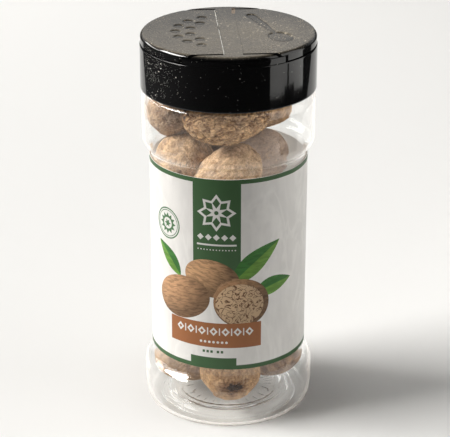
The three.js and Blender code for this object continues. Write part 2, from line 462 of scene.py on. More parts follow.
# Turns the named axis of a thing to a direction
def aim(item, way, axis):
    item.rotation_mode = "QUATERNION"
    item.rotation_quaternion = Vector(way).to_track_quat(axis, "Y")


def makeCamera():
    data = bpy.data.cameras.new("camera")
    data.lens = view["lens"]
    data.sensor_width = view["sensor"]
    data.clip_start, data.clip_end = view["clip"]
    item = addObject("camera", data)
    item.location = view["place"]
    aim(item, view["forward"], "-Z")
    bpy.context.scene.camera = item
    bpy.context.scene.view_settings.view_transform = "Standard"


# A rectangular lamp whose power grows with its distance squared, so strength is what arrives
def makeLamp(name):
    (right, back, up), (width, height), strength = studio[name]
    distance = studio["lampDistance"]
    towards = (rightWay * right + backWay * back + Vector((0, 0, up))).normalized()
    data = bpy.data.lights.new(name, "AREA")
    data.shape = "RECTANGLE"
    data.size, data.size_y = width, height
    data.energy = strength * distance**2
    data.color = studio["lampColour"]
    item = addObject(name, data)
    item.location = towards * distance + Vector((0, 0, studio["lampTarget"]))
    aim(item, towards, "Z")


# How far a vector reaches in a direction, which is their dot product
def along(vector, way):
    return addNode(vector.tree, "VectorMath", {0: vector, 1: way}, operation="DOT_PRODUCT")["Value"]


# 1 for what the camera sees itself or through clear plastic, and 1 for the light that falls on
# things seen through one wall, which takes fewer crossings than oneWall
def clearRays(tree, oneWall=3.5):
    rays = addNode(tree, "LightPath")
    clear = rays["Transmission Depth"] > 0.5
    spread = rays["Diffuse Depth"] > 0.5
    straight = clear * (1.0 - spread)
    return larger(rays["Is Camera Ray"], straight), clear * spread * (rays["Transmission Depth"] < oneWall)


# Pale where it is seen straight or through the clear jar, and a dim room elsewhere
def makeWorld():
    world = bpy.data.worlds.new("room")
    bpy.context.scene.world = world
    world.use_nodes = True
    tree = world.node_tree
    tree.nodes.clear()
    way = addNode(tree, "TexCoord")["Generated"]
    up = heightOf(way)
    back, low = studio["backdropFrom"]
    level = ranged(up, *low) * ranged(up, *studio["backdropEnd"], 1.0, 0.0)
    mirrored = addNode(tree, "LightPath")["Is Glossy Ray"] * studio["backdrop"]
    light = ranged(along(way, backWay), *back) * level * mirrored + studio["room"]
    seen, held = clearRays(tree)
    tint = mixed(1.0, studio["roomTint"], light, "MULTIPLY")
    tint = mixed(seen, mixed(held, tint, studio["fill"]), studio["wall"])
    finished(addNode(tree, "Background", {"Color": tint, "Strength": 1.0}), "OutputWorld")


# The white sheet is only so large, and past it other rays than the camera's find a dark table.
# The floor glows a little under the clear base, a painted pool of light that stands in for the light the
# base gathers.
def floorFinish():
    material, tree = newMaterial("paleFloor")
    spot = place(tree)
    across, deep = along(spot, rightWay), along(spot, backWay)
    left, right, near, far = studio["sheet"]
    slanted = deep * -studio["slant"] + across
    inside = (across > left) * (slanted < right) * (deep > near) * (deep < far)
    # Painted light falloff: the sheet's tone goes from darker near the camera to paler far back and to the
    # right
    fade = ranged(slanted * 0.9 + deep, *studio["sheetFade"])
    pale = mixed(fade, studio["sheetNear"], studio["sheetFar"])
    tone = mixed(larger(inside, clearRays(tree)[0]), studio["table"], pale)
    # Painted light: an emitted glow on the floor under the base, fading out at the given distance
    reach, full, strength = studio["gathered"]
    finished(surface(
        tree, Base_Color=tone, Roughness=0.75, Specular_IOR_Level=0.2, Emission_Color=(1, 0.99, 0.97),
        Emission_Strength=nearTo(spot, (0, 0, 0), reach, full) * strength))
    return material


# A mesh that only the picture needs
def stageMesh(name, corners, faces, finish):
    mesh = bpy.data.meshes.new(name)
    mesh.from_pydata(corners, [], faces)
    mesh.materials.append(finish)
    item = addObject(name, mesh)
    return item


# A square just under the jar, so that both don't lie in one plane
def makeFloor():
    half = studio["floorSize"]
    corners = [(x * half, y * half, -studio["floorDrop"]) for x, y in ((-1, -1), (1, -1), (1, 1), (-1, 1))]
    stageMesh("floor", corners, [(0, 1, 2, 3)], floorFinish())


# A curved board round the jar's right side, between two angles from the camera's side
def curvedBoard(name, radius, start, end, low, high, finish):
    angle = np.radians(np.linspace(start, end, 24))
    plan = [rightWay * radius * math.sin(a) - backWay * radius * math.cos(a) for a in angle]
    corners = [spot + Vector((0, 0, z)) for z in (low, high) for spot in plan]
    count = len(plan)
    faces = [(i + 1, i, i + count, i + count + 1) for i in range(count - 1)]
    stageMesh(name, corners, faces, finish).visible_camera = False


# A white board beyond the right edge throws light back, with low dark things before it
def makeBoard():
    white = plainFinish(
        "boardWhite", Base_Color=(0.85, 0.85, 0.84), Roughness=0.8, Specular_IOR_Level=0.0,
        Emission_Color=(1, 1, 1), Emission_Strength=studio["boardGlow"])
    curvedBoard("board", *studio["board"], white)
    dark = plainFinish("propBlack", Base_Color=(0.01, 0.01, 0.01), Roughness=0.9, Specular_IOR_Level=0.0)
    for prop in studio["props"]:
        curvedBoard("prop", *prop, dark)


makeCamera()
makeLamp("key")
makeLamp("strip")
makeWorld()
makeFloor()
makeBoard()
print("stage: camera, light and floor")


# Jar

jar = {
    "columns": 224,
    "wall": 0.7,
    "base": 0.8,  # thickness of the bottom
    "footInner": 22,  # the ring that the jar stands on
    "footOuter": 25.3,
    "punt": 1.8,
    "bulge": radiusOf("jar"),
    "upperBulge": 27.8,
    "panel": 25.1,  # outer radius behind the label
    "lowerBulgeTop": 12.6,
    "panelBottom": 18.9,
    "panelTop": 87.3,
    "upperBulgeBottom": 93.4,
    "upperBulgeTop": 105.8,
    "neckBottom": 109.4,
    "neck": 25.1,
    "rim": highest("jar"),
    "lipEase": 0.3,
    "wave": 0.02,  # unevenness of the blown wall
}
thread = {"low": 111.6, "pitch": 4.2, "turns": 1.4, "size": 1.9, "fade": 0.06}
baseBars = {"count": 28, "inner": 12.6, "outer": 15.4, "rise": 0.16, "width": 0.38, "ease": 0.4}
# Rings on the inside of the base: radius, height and half width
baseRings = ((22.3, 0.55, 0.5), (20.6, 0.5, 0.6), (18.4, 0.6, 0.8), (16.2, 0.3, 0.5), (6.5, 0.16, 0.7))


# One wall from foot to rim as (radius, height): foot curve, lower bulge, a waist for the label,
# upper bulge, shoulder and neck, drawn so far inside the outer surface
def jarWall(inset):
    bulge, upper, panel, neck, foot = (
        jar[part] - inset for part in ("bulge", "upperBulge", "panel", "neck", "footOuter"))
    low, bottom, ceiling, waist, crown, throat = (
        jar[part] for part in (
            "lowerBulgeTop", "panelBottom", "panelTop", "upperBulgeBottom", "upperBulgeTop", "neckBottom"))
    return np.vstack([
        bent([(foot, inset), (bulge - 0.8, inset), (bulge - 0.4, inset + 3)], 10),
        bent([(bulge - 0.4, inset + 3), (bulge, 6), (bulge, 9)], 6)[1:],
        bent([(bulge, 9), (bulge, low)], 3)[1:],
        bent([(bulge, low), (bulge, low + 3.2), (panel, bottom - 3.2), (panel, bottom)], 16)[1:],
        bent([(panel, bottom), (panel, ceiling)], 26)[1:],
        bent([(panel, ceiling), (panel, ceiling + 3), (upper, waist - 3), (upper, waist)], 16)[1:],
        bent([(upper, waist), (upper, crown)], 8)[1:],
        bent([(upper, crown), (upper, throat - 0.6), (neck, throat)], 12)[1:],
        bent([(neck, throat), (neck, jar["rim"] - jar["lipEase"])], 34)[1:],
    ])


# Height of the thread's ridge: a helix whose crest falls off linearly and fades at both ends
def threadRise(angle, height):
    rise = np.zeros_like(height)
    for lap in range(2):
        turns = angle / 360 + lap
        crest = thread["low"] + turns * thread["pitch"]
        off = np.abs(height - crest) / (thread["size"] / 2)
        fade = humped(turns, 0, thread["fade"], thread["turns"] - thread["fade"], thread["turns"])
        rise = np.maximum(rise, np.clip(1.15 - off, 0, 0.8) * fade * thread["size"] / 2)
    return rise


# Short radial bars on the underside of the base, each a rounded ridge
def barRise(angle, radius):
    step = 360 / baseBars["count"]
    off = np.abs((angle + step / 2) % step - step / 2)
    inner, outer, ease, width = (baseBars[part] for part in ("inner", "outer", "ease", "width"))
    ridge = 1 - eased(np.radians(off)[None, :] * radius, width * 0.4, width)
    return ridge * humped(radius, inner - ease, inner, outer, outer + ease) * baseBars["rise"]


# The outside from the middle of the base up to the rim, then the inside back down to the middle
def makeJar():
    punt, foot, wall, lip = jar["punt"], jar["footInner"], jar["wall"], jar["lipEase"]
    edge = foot - punt
    outside = np.vstack([
        bent([(1.4, punt - 0.3), (1.8, punt)], 2),
        bent([(3, punt), (edge - 3.9, punt)], 26),
        bent([(edge - 3.9, punt), (edge - 0.4, punt), (edge + 0.2, 0.0), (foot + 0.7, 0)], 14)[1:],
        jarWall(0),
        [(jar["neck"] - lip, jar["rim"])],
    ])
    lift = punt + jar["base"]
    inside = np.vstack([
        [(jar["neck"] - wall + lip, jar["rim"])],
        jarWall(wall)[::-1],
        bent([(foot + 1.2, wall + 0.05), (edge + 0.6, wall + 0.2),
              (edge + 0.2, lift), (edge - 3.2, lift)], 40),
        bent([(edge - 3.4, lift), (2, lift)], 60),
    ])
    low = (inside[:, 1] < lift + 0.1) & (inside[:, 0] < foot + 1.3)
    for middle, height, half in baseRings:
        inside[:, 1] += low * height * np.exp(-(((inside[:, 0] - middle) / half) ** 2))
    rings = turnedRings(np.vstack([outside, inside]), jar["columns"])
    angle = np.arange(jar["columns"]) * 360 / jar["columns"]
    outer = len(outside)
    height = rings[:outer, :, 2]
    radius = np.hypot(rings[..., 0], rings[..., 1])
    wave = (unevenness(rings * [0.11, 0.11, 0.07], 3) - 1) / 2 * jar["wave"]
    grown = radius + wave * humped(rings[..., 2], 4, 12, 98, jar["upperBulgeTop"])
    rise = threadRise(np.broadcast_to(angle, height.shape), height)
    grown[:outer] += rise * (height > jar["neckBottom"])
    rings[..., :2] *= (grown / radius)[..., None]
    rings[:outer, :, 2] -= barRise(angle, radius[:outer]) * (height < 2)
    shape = ringSkin(rings, (0, 0, punt - 0.3), (0, 0, lift))
    makePiece("jarShell", [shape], [clearPlastic()], "jar_body", ["jar"], sharp=50)


# Clear shell that bends what is seen through it. Light passes straight to what the jar holds,
# less of it through the thick foot, and a view that has crossed many walls goes straight on too.
def clearPlastic():
    material, tree = newMaterial("clearPlastic")
    shell = surface(
        tree, Base_Color=(0.965, 0.967, 0.96), Roughness=0.03, IOR=1.45, Transmission_Weight=1.0)
    dull = ranged(heightOf(place(tree)), 14 * mm, 24 * mm, 0.87, 0.97)
    tint = mixed(1.0, (1.0, 1.0, 0.995), dull, "MULTIPLY")
    rays = addNode(tree, "LightPath")
    passing = lightRays(tree)
    for count, most in (("Transmission Depth", 6.5), ("Glossy Depth", 2.5), ("Ray Depth", 8.5)):
        passing = larger(passing, rays[count] > most)
    finishedClear(shell, passing, tint)
    return material


makeJar()
print("jar: shell, thread and base")


# Label: one closed film whose outer face is cut along the edges of its print

label = {
    "inner": 25.3,
    "outer": radiusOf("label"),
    "bottom": lowest("label"),
    "top": highest("label"),
    "columns": 288,
    "band": 1.5,  # height of the green edge at the top and at the bottom
    "panel": (-7.3, 8.2, 50.0),  # left and right edge, and lower end
    "box": (-16.2, 15.1, 28.5, 37.2),
    "tab": (-8.4, 6.9, 24.8),
    "dashes": (-4.2, -2.9, -1.6, 0.5, 1.8),
    "badge": (-17.6, 68.7, 5.3),
}
# Base, tip, width, bend and the inks of the two halves
leaves = (
    ((5, 51), (21.8, 64.6), 3.6, 0.8, ("leafDark", "leafPale")),
    ((-12, 52), (-22.0, 62.0), 2.6, -0.5, ("leafPale", "leafDark")),
    ((12, 47), (27.0, 50.0), 3.0, 0.8, ("leafDark", "leafPale")),
)
# Middle, half length, half width and tilt of the nutmegs in the picture, and of the cut face
printedSeeds = {
    "nutBack": ((-1.2, 52.8), 9.2, 6.4, -14),
    "nutLeft": ((-11.6, 44.8), 10.0, 7.4, 12),
    "nutRight": ((8.6, 44.4), 9.2, 8.4, -8),
    "cutFace": ((8.0, 43.8), 7.9, 7.2, -8),
}
inkColours = {
    "paper": (0.77, 0.75, 0.725),
    "back": (0.86, 0.84, 0.81),
    "white": (0.76, 0.75, 0.72),
    "green": (0.05, 0.115, 0.045),
    "badge": (0.07, 0.17, 0.07),
    "brown": (0.33, 0.125, 0.045),
    "leafDark": (0.035, 0.14, 0.025),
    "leafPale": (0.11, 0.24, 0.035),
    "nutBack": (0.50, 0.29, 0.15),
    "nutLeft": (0.46, 0.26, 0.135),
    "nutRight": (0.40, 0.22, 0.11),
    "cutFace": (0.62, 0.43, 0.26),
}


# Four corners, anticlockwise
def rectangle(left, right, low, high):
    return np.array([(left, low), (right, low), (right, high), (left, high)], float)


# Cosine of an even angle along it and sine across it, tilted about its middle
def oval(middle, length, width, tilt=0.0, count=48):
    angle = np.linspace(0, 2 * math.pi, count, endpoint=False)
    return turnedBy(np.stack([length * np.cos(angle), width * np.sin(angle)], axis=-1), tilt) + middle


def circle(middle, radius, count=40):
    return oval(middle, radius, radius, count=count)


# Corners at two radii in turn
def star(middle, outer, inner, count, tilt=0.0):
    angle = np.radians(tilt + np.arange(count * 2) * 180 / count)
    radius = np.where(np.arange(count * 2) % 2, inner, outer)
    return np.stack([radius * np.cos(angle), radius * np.sin(angle)], axis=-1) + middle


# Corners at its half width and half height
def diamond(middle, wide, high):
    return np.array([(wide, 0), (0, high), (-wide, 0), (0, -high)]) + middle


# One side of a leaf: its midrib from base to tip, and an edge that swells by a sine
def leafSide(base, tip, width, bend, side):
    run = np.subtract(tip, base)
    share = np.linspace(0, 1, 15)[:, None]
    across = np.array([-run[1], run[0]]) / np.hypot(*run)
    rib = base + run * share + across * bend * np.sin(math.pi * share)
    edge = rib + across * side * width * np.sin(math.pi * share**0.85) ** 0.9
    return np.vstack([rib, edge[-2:0:-1]])


# What is printed, from the lowest layer to the top one, as (ink, outline)
def labelPrint():
    low, high, band = label["bottom"], label["top"], label["band"]
    half = math.pi * label["outer"]
    left, right, end = label["panel"]
    tabLeft, tabRight, tabTop = label["tab"]
    inks = [
        ("green", rectangle(-half, half, high - band, high)),
        ("green", rectangle(-half, half, low, low + band)),
        ("green", rectangle(left, right, end, high - band / 2)),
        ("green", rectangle(tabLeft, tabRight, low + band / 2, tabTop)),
    ]
    inks += panelOrnament((left + right) / 2) + badgePrint() + sprigPrint() + boxPrint()
    return inks + [("green", rectangle(s, s + 0.8, 26.5, 27.4)) for s in label["dashes"]]


# An eight-pointed star with a row of lozenges, a line and a row of dots below it
def panelOrnament(middle, level=75.6):
    at = (middle, level)
    return [
        ("white", star(at, 6.3, 4.3, 8)),
        ("green", star(at, 5.0, 3.4, 8)),
        ("white", star(at, 3.9, 1.5, 8, 22.5)),
        ("green", circle(at, 0.7, 16)),
        *[("white", diamond((middle + step * 2.6, 67.2), 1.1, 1.1)) for step in range(-2, 3)],
        ("white", rectangle(middle - 6.4, middle + 6.4, 64.3, 64.9)),
        *[("white", circle((middle + step, 62.9), 0.22, 10)) for step in range(-6, 7)],
    ]


# A toothed seal in two thin rings
def badgePrint():
    s, z, radius = label["badge"]
    rings = (("badge", 0, 72), ("white", 0.45, 72), ("badge", 0.8, 64), ("white", 1.05, 64))
    return [(ink, circle((s, z), radius - inset, count)) for ink, inset, count in rings] + [
        ("badge", star((s, z), 3.6, 2.5, 12)),
        ("white", circle((s, z), 1.9, 32)),
        ("badge", star((s, z), 1.5, 0.7, 6)),
    ]


# Leaves behind three nutmegs, one of them cut
def sprigPrint():
    halves = [(ink, leafSide(*leaf, side)) for *leaf, inks in leaves for ink, side in zip(inks, (1, -1))]
    return halves + [(ink, oval(*shape)) for ink, shape in printedSeeds.items()]


# A brown box with a row of lozenges between bars, and a row of dots
def boxPrint():
    left, right, low, high = label["box"]
    middle = (left + right) / 2
    shapes = [("brown", rectangle(left, right, low, high))]
    for step in range(-3, 4):
        s = middle + step * 3.9
        shapes.append(("white", diamond((s, 34.2), 1.35, 1.5)))
        shapes.append(("brown", diamond((s, 34.2), 0.6, 0.7)))
        if step < 3:
            shapes.append(("white", rectangle(s + 1.75, s + 2.15, 32.9, 35.5)))
    return shapes + [("white", circle((middle + step * 1.4, 30.4), 0.45, 12)) for step in range(-3, 4)]


# For the printed seeds: place along and across each in millimetres, and how lit its round form is
def pictureValues(plan):
    values = np.tile((0.0, 0.0, 1.0), (len(plan), 1))
    for middle, length, width, tilt in printedSeeds.values():
        off = plan - middle
        u, v = turnedBy(off, -tilt).T
        far = (u / length) ** 2 + (v / width) ** 2
        slope = (off[:, 0] * -0.5 + off[:, 1] * 0.6) / width + np.sqrt(np.clip(1 - far, 0, 1)) * 0.62
        here = far < 1.03
        values[here] = np.column_stack([u, v, 0.42 + 0.75 * np.clip(slope, 0, 1)])[here]
    return values


# How far the film stands off: long upright creases on the right, a faint ripple elsewhere, and
# the end that laps over itself at the back
def filmRise(degrees, height):
    arc = np.radians(degrees)
    spot = lifted(np.column_stack([np.sin(arc) * 5, np.cos(arc) * 5]), height / 16)
    crease = 1 - np.abs(unevenness(spot * [1.3, 1.3, 0.55], 11))
    ripple = unevenness(spot * [1.1, 1.1, 1.4], 12)
    right = humped(degrees, 20, 50, 110, 150)
    lap = humped(degrees, -180, -179, -170.4, -170)
    return 0.02 * ripple + 0.10 * right * (crease**4 - 0.3) + 0.07 * lap


# The outline with its long sides split, so that they bend round the jar
def denser(outline, longest=1.0):
    parts = []
    for start, end in zip(outline, np.roll(outline, -1, axis=0)):
        count = max(1, math.ceil(np.hypot(*(end - start)) / longest))
        parts.append(start + (end - start) * np.arange(count)[:, None] / count)
    return np.vstack(parts)


# The outer face fills its border, cut along the print, and is bent round the jar. A lining of
# rings down the inside closes the film.
def makeLabel():
    inks = labelPrint()
    radius, columns, low, high, band = (
        label[part] for part in ("outer", "columns", "bottom", "top", "band"))
    half = math.pi * radius
    across = np.linspace(-half, half, columns + 1)
    levels = np.unique(np.round([*np.linspace(low, high, 56), low + band, high - band], 4))
    border = np.vstack([
        lifted(across, low), lifted(np.full(len(levels) - 1, half), levels[1:]),
        lifted(across[-2::-1], high), lifted(np.full(len(levels) - 2, -half), levels[-2:0:-1])])
    grid = scattered((-half + 0.5, low + 0.5), (half - 0.3, high - 0.3), 1.0)
    outlines = [denser(outline) for _, outline in inks]
    plan, triangles = filledPlan([border, *outlines], grid, 0.3, whole=True)
    middle = plan[triangles].mean(axis=1)
    names = ["paper", "back", *dict.fromkeys(ink for ink, _ in inks)]
    number = np.zeros(len(triangles), int)
    for ink, outline in inks:
        number[within(middle, outline)] = names.index(ink)
    degrees, height = np.degrees(plan[:, 0] / radius), plan[:, 1]
    outer = lifted(around(radius + filmRise(degrees, height), degrees), height)
    angle = np.arange(columns) * 360 / columns
    signed = np.where(angle > 180 - 1e-6, angle - 360, angle)
    rows = np.linspace(high, low, 26)
    heights = [high, *rows, low]
    depths = [radius, *[label["inner"]] * len(rows), radius]
    plans = [around(depth + filmRise(signed, height), signed) for depth, height in zip(depths, heights)]
    lining = ringSkin(stacked(plans, heights))
    number = np.concatenate([np.full(len(lining[1]), names.index("back")), number])
    picture = np.vstack([np.ones((len(lining[0]), 3)), pictureValues(plan)])
    makePiece("labelFilm", [lining, (outer, noQuads, triangles)], [inkFinish(name) for name in names],
              "jar_body", ["label"], sharp=60, weld=True, numbers=number,
              values={"picture": picture})


# Satin film that lets some light through: the ink's colour with a faint cloudiness and paler
# creases, and for the picture's parts grain along each seed or the dark veins of the cut one
def inkFinish(ink):
    material, tree = newMaterial("film" + ink[0].upper() + ink[1:])
    spot = place(tree)
    base = inkColours[ink]
    dull, bright = (tuple(part * factor for part in base) for factor in (0.93, 1.35))
    tone = mixed(ranged(noise(stretched(spot, (1, 1, 0.35)), 260, 4.0, 0.6), 0.3, 0.7), dull, base)
    if ink == "paper":
        fold = noise(stretched(spot, (1, 1, 0.45), 0.5), 95, 3.0, 0.55, 0.6)
        tone = mixed(ranged(abs(fold - 0.5), 0.0, 0.06, 0.3, 0.0), tone, (0.9, 0.88, 0.85))
    if ink.startswith("leaf"):
        veins = noise(stretched(spot, (0.5, 0.5, 2.0), 0.6), 500)
        tone = mixed(ranged(veins, 0.35, 0.65), tone, bright)
    if ink in printedSeeds:
        picture = addNode(tree, "Attribute", attribute_name="picture")["Vector"]
        lit = heightOf(picture)
        if ink == "cutFace":
            vein = noise(picture, 0.42, 1.0, 0.5, 1.6)
            tone = mixed(ranged(abs(vein - 0.5), 0.01, 0.06), (0.13, 0.055, 0.025), tone)
            lit = ranged(lit, 0.4, 1.2, 0.85, 1.1)
        else:
            grain = noise(stretched(picture, (0.22, 1, 0)), 1.5, 3.0, 0.6, 0.5)
            lit = lit * ranged(grain, 0.35, 0.6, 0.62, 1.12)
        tone = mixed(1.0, tone, lit, "MULTIPLY")
    # Painted light: the back of the film, seen from inside the jar, glows a little, standing in for light
    # coming through it
    film = surface(
        tree, Base_Color=tone, Roughness=0.42, Specular_IOR_Level=0.3,
        Normal=bumped(noise(spot, 2600), 0.012),
        Emission_Color=(1.0, 0.96, 0.92), Emission_Strength=0.2 if ink == "back" else 0.0)
    thin = 0.5 if ink in ("paper", "back", "white") else 0.25
    finishedClear(film, lightRays(tree) * thin, (1.0, 0.98, 0.95))
    return material


makeLabel()
print("label: film and print")


# Cap, drawn with its hinge lines along Y and then turned on the jar

cap = {
    "radius": radiusOf("cap"),
    "bottom": lowest("cap"),
    "top": highest("cap"),
    "deck": 123.6,  # top of the plate with the openings
    "thickness": 1.2,
    "wall": 1.2,
    "ledge": 0.2,  # how far the parts above the deck stand in from the skirt
    "edge": 1.05,
    "twist": 13.5,
    "fixedEnds": 24.4,  # where the fixed front and back begin
    "shelf": (22.9, 125.7),  # where their lower part begins, which runs on under the flaps
    "strip": 2.78,  # half width of the strip between the hinge lines
    "crisp": 0.07,  # roundness of the edges at the hinges as a share of the other edges
    "crispEnds": 0.2,  # and of those at the straight ends of the flaps
    "columns": 240,
    "rim": 0.3,  # easing of the rims of the openings
}
flap = {
    "start": 3.05,  # distance of the hinge edge from the middle
    "chord": 23.7,
    "lipChord": (22.35, 125.95),  # ends of the lip below the plate, and the plate's underside there
    "corner": 0.7,
    "gap": 0.3,  # clearance over the deck
    "plate": 1.3,
    "wall": 1.3,
    "edge": 1.05,
    "rib": 1.0,
    "ribGap": 0.6,
    "field": ((2.5, -24), (28, 24)),  # corners of the area over which points fill the faces
    "coarse": 0.8,  # spacing of those points on the top
    "fine": 0.17,  # and at the edge of a mark
    "under": 1.6,  # and on the underside
}
siftHoles = {"count": 6, "ring": 7.0, "radius": 2.1, "middle": 14.5}
spoonHole = {"radius": 22.5, "from": 5.6, "half": 16.0}
dotMarks = {"depth": 0.36, "radius": 1.75, "lean": -3, "arcs": ((16.7, 20, 7), (12.3, 29, 4))}
spoonMark = {
    "depth": 0.42, "tip": (8.4, 16.6), "neck": (13.7, 0.0), "bowl": (15.8, -7.0),
    "handle": 1.65, "narrow": 0.9, "length": 5.3, "width": 3.9,
}
markWall = 0.6  # width of the groove round the edge of a mark
# Stretches of the left hinge line painted pale as a highlight, the run of the right one, and their half
# widths
hingeLines = {"pale": ((-23.9, 2.2), (3.0, 3.9), (5.0, 23.6)), "black": (-23.6, 23.6), "half": (0.21, 0.34)}


# Fixed front and back of the top with the strip between them, set in by so much. The sides of the
# strip are crisp, so they move in less.
def fixedOutline(inset, chord):
    radius = cap["radius"] - cap["ledge"] - inset
    chord = chord + inset * cap["crispEnds"]
    half = cap["strip"] - inset * cap["crisp"]
    swing = math.degrees(math.acos(chord / radius))
    front = around(radius, np.linspace(-swing, swing, 41))
    side = np.linspace((half, -chord), (half, chord), 40)
    return np.vstack([front, side, -front, -side])


# A flap: straight hinge side with rounded corners, two straight ends and the round lip
def flapOutline(side, inset, chord):
    radius = cap["radius"] - cap["ledge"] - inset
    chord = chord - inset * cap["crispEnds"]
    start = flap["start"] + inset * cap["crisp"]
    corner = max(flap["corner"] - inset, 0.02)
    swing = math.degrees(math.asin(chord / radius))
    lip = around(radius, np.linspace(90 - swing, 90 + swing, 121))
    quarter = np.linspace(0, math.pi / 2, 7)
    end = np.linspace((math.sqrt(radius**2 - chord**2), chord), (start + corner, chord), 26)[1:-1]
    bend = np.column_stack([start + corner * (1 - np.sin(quarter)), chord - corner * (1 - np.cos(quarter))])
    hinge = np.linspace((start, chord - corner), (start, corner - chord), 90)[1:-1]
    loop = np.vstack([lip, end, bend, hinge, bend[::-1] * [1, -1], end[::-1] * [1, -1]])
    return loop if side > 0 else loop[::-1] * [-1, 1]


# A round hole in the middle of a ring of others
def siftPlans(grown):
    step = 360 / siftHoles["count"]
    places = [(0, 0)] + [around(siftHoles["ring"], i * step) for i in range(siftHoles["count"])]
    return [circle((x - siftHoles["middle"], y), siftHoles["radius"] + grown) for x, y in places]


# A straight edge and a round back, cut off at both sides, drawn a little larger all round
def spoonPlan(grown):
    radius, half, start = spoonHole["radius"] + grown, spoonHole["half"] + grown, spoonHole["from"] - grown
    swing = math.degrees(math.asin(half / radius))
    arc = around(radius, np.linspace(90 - swing, 90 + swing, 60))
    side = np.linspace((math.sqrt(radius**2 - half**2), half), (start, half), 12)[1:]
    front = np.linspace((start, half), (start, -half), 40)[1:-1]
    return np.vstack([arc, side, front, side[::-1] * [1, -1]])


# All openings of the deck, drawn a little larger all round
def deckHoles(grown=0.0):
    return [*siftPlans(grown), spoonPlan(grown)]


# Turned from the drawn position to how the cap sits on the jar
def twisted(shapes):
    return [(turnedBy(points, cap["twist"]), four, three) for points, four, three in shapes]


# Skirt with its ledge, and the deck with its openings, whose upper rims are eased
def makeCapBody():
    radius, wall, deck, top, foot = (cap[part] for part in ("radius", "wall", "deck", "top", "bottom"))
    under = deck - cap["thickness"]
    inner = radius - wall
    seam = inner - 1.0
    skirt = ringSkin(turnedRings([
        (seam, under), (inner - 0.3, under), (inner, under - 0.3), (inner, 118), (inner, 112),
        (inner, foot + 0.3), (inner + 0.2, foot), (radius - 0.35, foot), (radius - 0.1, foot + 0.1),
        (radius, foot + 0.35), (radius, foot + 0.5), (radius, 112), (radius, 115), (radius, 118),
        (radius, 121), (radius, deck - 0.45), (radius, deck - 0.3), (radius - 0.03, deck - 0.13),
        (radius - 0.1, deck - 0.03), (radius - 0.2, deck), (radius - 0.6, deck), (seam, deck)],
        cap["columns"]))
    edge = around(seam, np.arange(cap["columns"]) * 360 / cap["columns"])
    shapes = [
        skirt, flatFace(*filledPlan([edge, *deckHoles(cap["rim"])]), deck),
        flatFace(*filledPlan([edge, *deckHoles()]), under, facesDown=True)]
    rim = cap["rim"]
    grown, levels = zip((rim, deck), (rim * 0.3, deck - rim * 0.3), (0, deck - rim), (0, under))
    shapes += [ringSkin(stacked(same, levels)) for same in zip(*map(deckHoles, grown))]
    low, shelf = cap["shelf"]
    ends = cap["fixedEnds"]
    profile = [(0.02, low, deck - 0.1), (0.0, low, deck + 0.2), (0.0, low, shelf - 0.25),
               (0.08, low, shelf - 0.06), (0.25, low, shelf), (0.25, ends - 0.4, shelf),
               (0.0, ends, shelf + 0.2)]
    profile += [(inset, ends, height) for inset, height in easedEdge(top, cap["edge"])]
    rings = outlineRings(fixedOutline, profile)
    plate = filledPlan([rings[-1, :, :2]], scattered((-14, -27), (14, 27), 1.2), 0.5)
    shapes += [ringSkin(rings), flatFace(*plate, top)]
    makePiece("capBody", twisted(shapes), [black], "jar_body", ["cap"], sharp=35, weld=True)


# Distance to the nearest dot's rim, below 0 inside it
def dotDistance(plan):
    nearest = np.full(len(plan), 99.0)
    for radius, step, count in dotMarks["arcs"]:
        for i in range(count):
            middle = around(radius, -90 + dotMarks["lean"] + (i - (count - 1) / 2) * step)
            nearest = np.minimum(nearest, np.hypot(*(plan - middle).T) - dotMarks["radius"])
    return nearest


# Distance to the outline of the spoon: a bar that narrows to the neck, joined to an ellipse
def spoonDistance(plan):
    tip, neck, bowl = (np.array(spoonMark[part]) for part in ("tip", "neck", "bowl"))
    handle, narrow, length, width = (spoonMark[part] for part in ("handle", "narrow", "length", "width"))
    run = np.hypot(*(neck - tip))
    way = (neck - tip) / run
    axes = np.array([way, (-way[1], way[0])]).T
    down, out = ((plan - tip) @ axes).T
    half = handle + (narrow - handle) * eased(down / run, 0.55, 1.1)
    bar = np.where(down < 0, np.hypot(down, out) - handle, np.abs(out) - half)
    bar = np.where(down > run + 3, 9, bar)
    down, out = ((plan - bowl) @ axes).T
    return np.minimum(bar, (np.hypot(down / length, out / width) - 1) * width)


# A flap: rounded plate with a wall round its edge, a mark sunk in its top and a closing rib below
def makeFlap(name, side, body, node, distance, depth, ribPlans):
    top, chord = cap["top"], flap["chord"]
    bottom = cap["deck"] + flap["gap"]
    ceiling = top - flap["plate"]
    wall = flap["wall"]
    low, plate = flap["lipChord"]
    profile = [(wall + 0.3, low, ceiling), (wall, low, ceiling - 0.3), (wall, low, bottom + 0.15),
               (wall - 0.15, low, bottom), (0.15, low, bottom), (0.0, low, bottom + 0.15),
               (0.0, low, 125.0), (0.0, low, plate), (0.0, chord, plate)]
    profile += [(inset, chord, height) for inset, height in easedEdge(top, flap["edge"])]
    rings = outlineRings(lambda inset, ends: flapOutline(side, inset, ends), profile)
    (start, front), (end, back) = flap["field"]
    field = flap["field"] if side > 0 else ((-end, front), (-start, back))
    coarse, fine, under = (scattered(*field, flap[part]) for part in ("coarse", "fine", "under"))
    coarse = coarse[np.abs(distance(coarse) + markWall / 2) > 0.9]
    fine = fine[np.abs(distance(fine) + markWall / 2) < 0.75]
    plan, triangles = filledPlan([rings[-1, :, :2]], np.vstack([coarse, fine]), 0.25)
    inward = -distance(plan)
    groove = np.exp(-(((inward - markWall / 2) / (markWall / 2)) ** 2))
    height = top - depth * (0.6 * eased(inward, 0, markWall) + 0.4 * groove)
    inside = filledPlan([rings[0, :, :2]], under, 0.5)
    inner, outer = ribPlans
    rib = stacked([inner, inner, outer, outer], [ceiling + 0.1, bottom, bottom, ceiling + 0.1])
    shapes = [
        ringSkin(rings), flatFace(plan, triangles, height), flatFace(*inside, ceiling, facesDown=True),
        ringSkin(rib, closed=True)]
    makePiece(name, twisted(shapes), [black], body, [node], sharp=35, weld=True)


